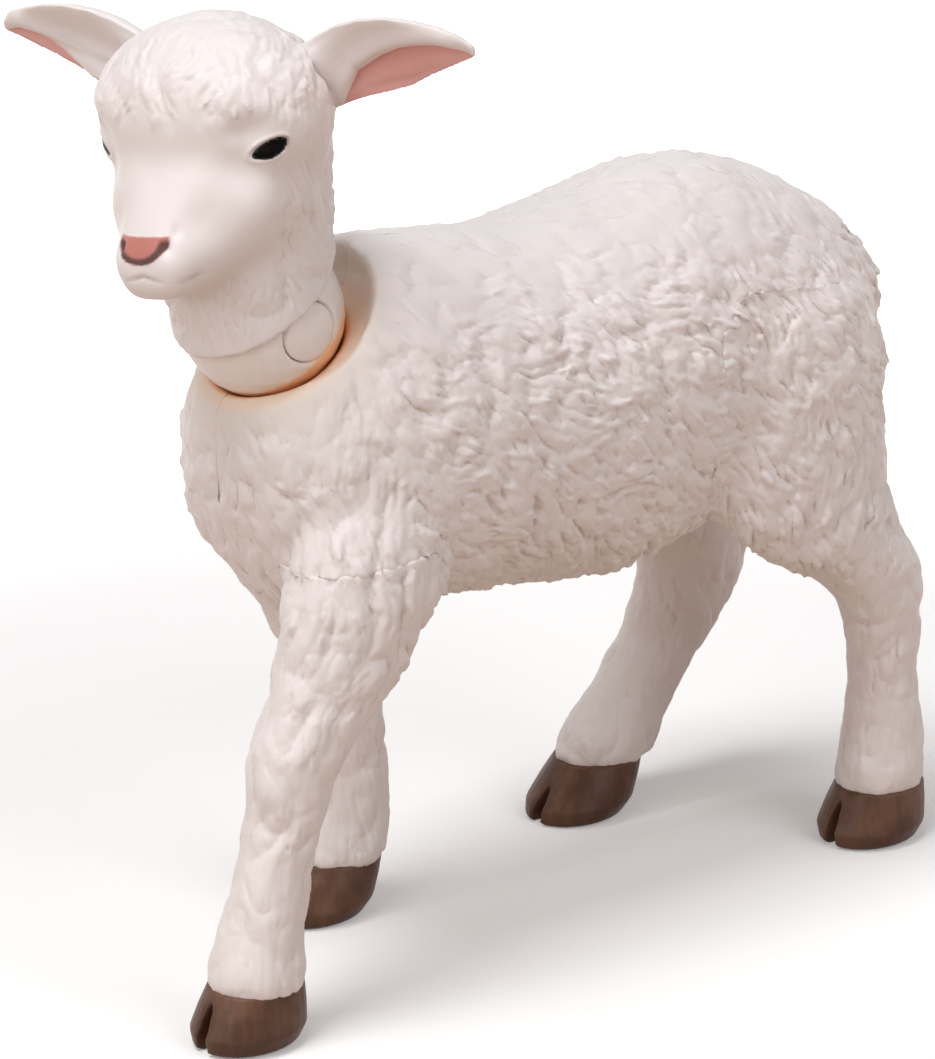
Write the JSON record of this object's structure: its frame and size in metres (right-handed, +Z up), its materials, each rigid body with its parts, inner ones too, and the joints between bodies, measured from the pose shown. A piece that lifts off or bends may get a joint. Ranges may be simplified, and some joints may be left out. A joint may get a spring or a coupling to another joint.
{
  "type": "toy lamb",
  "caption": "White toy lamb in a walking pose, moulded in plastic, with a woolly coat, brown hooves and a head that turns and nods on a ball in the base of its neck.",
  "frame": {"origin": "centre of the toy's outline from above, on the level surface that its hooves stand on", "axes": "+Z up, the lamb faces -Y, its left side is +X"},
  "size_m": [0.0358, 0.0634, 0.067],
  "materials": {
    "fleece": "satin, warm white, moulded wool texture",
    "hoof": "satin, dark brown",
    "joint": "smooth satin, cream"
  },
  "bodies": {
    "body": {"body_left": "fleece", "body_right": "fleece", "foreleg_left": "fleece", "foreleg_right": "fleece", "hindleg_left": "fleece", "hindleg_right": "fleece", "hoof_foreleg_left": "hoof", "hoof_foreleg_right": "hoof", "hoof_hindleg_left": "hoof", "hoof_hindleg_right": "hoof", "neck_post": "joint"},
    "neck": {"neck_ball": "joint", "neck_pin": "joint"},
    "head": {"head": "fleece", "ear_left": "fleece", "ear_right": "fleece"}
  },
  "joints": [
    {"name": "neck_nod", "type": "hinge", "parent": "body", "child": "neck", "pos_m": [0.0026, -0.0206, 0.046], "axis": [1, 0, 0], "range_deg": [-8, 12]},
    {"name": "head_turn", "type": "hinge", "parent": "neck", "child": "head", "pos_m": [0.0026, -0.0206, 0.046], "axis": [0, -0.5, 0.866], "range_deg": [-57, 23]}
  ]
}
